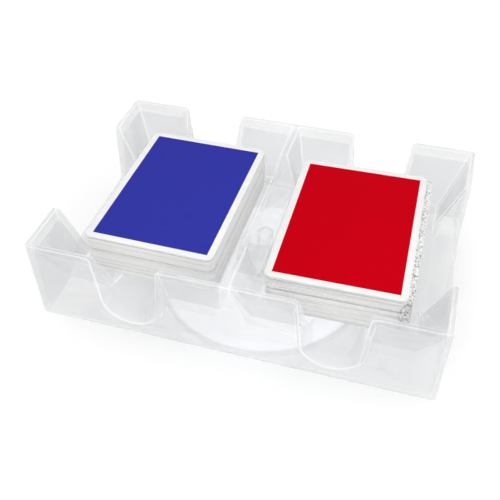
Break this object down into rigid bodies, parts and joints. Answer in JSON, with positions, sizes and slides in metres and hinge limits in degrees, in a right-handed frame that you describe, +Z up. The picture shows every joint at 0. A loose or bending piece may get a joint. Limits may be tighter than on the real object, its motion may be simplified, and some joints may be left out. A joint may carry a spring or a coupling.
{
  "type": "revolving card tray",
  "caption": "Clear revolving tray that holds two decks of playing cards side by side, with finger notches all round, on a round turntable base.",
  "frame": {"origin": "centre of the base disc's footprint, on the table", "axes": "+X runs from the left well to the right well, -Y is the front with the camera side finger notches, +Z up along the pivot"},
  "size_m": [0.19, 0.128, 0.0565],
  "materials": {
    "clear_tray": "clear polished moulding",
    "base_disc": "milky white moulding",
    "pivot_plastic": "white nylon",
    "washer_plastic": "white nylon",
    "pad_rubber": "pale soft non-slip pad",
    "card_edge": "cut edges of stacked white card",
    "blue_card_back": "coated card, plain blue back with a white border",
    "red_card_back": "coated card, plain red back with a white border"
  },
  "bodies": {
    "base": {"turntable_base": "base_disc", "thrust_washer": "washer_plastic", "foot_pad_1": "pad_rubber", "foot_pad_2": "pad_rubber", "foot_pad_3": "pad_rubber", "foot_pad_4": "pad_rubber"},
    "tray": {"card_tray": "clear_tray", "pivot_pin": "pivot_plastic"},
    "blue_lower_cards": {"blue_card_packet_1": "card_edge", "blue_card_packet_2": "card_edge", "blue_card_packet_3": "card_edge", "blue_card_packet_4": "card_edge"},
    "blue_upper_cards": {"blue_card_packet_5": "card_edge", "blue_card_packet_6": "card_edge"},
    "blue_top_card": {"blue_top_card": "blue_card_back"},
    "red_lower_cards": {"red_card_packet_1": "card_edge", "red_card_packet_2": "card_edge", "red_card_packet_3": "card_edge", "red_card_packet_4": "card_edge"},
    "red_upper_cards": {"red_card_packet_5": "card_edge", "red_card_packet_6": "card_edge"},
    "red_top_card": {"red_top_card": "red_card_back"}
  },
  "joints": [
    {"name": "tray_turn", "type": "hinge", "parent": "base", "child": "tray", "pos_m": [0, 0, 0.0125], "axis": [0, 0, 1], "continuous": true},
    {"name": "blue_deck_lift", "type": "slide", "parent": "tray", "child": "blue_lower_cards", "axis": [0, 0, 1], "range_m": [0, 0.05]},
    {"name": "blue_deck_cut", "type": "slide", "parent": "blue_lower_cards", "child": "blue_upper_cards", "axis": [0, 0, 1], "range_m": [0, 0.04]},
    {"name": "blue_top_card_draw", "type": "slide", "parent": "blue_upper_cards", "child": "blue_top_card", "axis": [0, 0, 1], "range_m": [0, 0.04]},
    {"name": "red_deck_lift", "type": "slide", "parent": "tray", "child": "red_lower_cards", "axis": [0, 0, 1], "range_m": [0, 0.05]},
    {"name": "red_deck_cut", "type": "slide", "parent": "red_lower_cards", "child": "red_upper_cards", "axis": [0, 0, 1], "range_m": [0, 0.04]},
    {"name": "red_top_card_draw", "type": "slide", "parent": "red_upper_cards", "child": "red_top_card", "axis": [0, 0, 1], "range_m": [0, 0.04]}
  ]
}
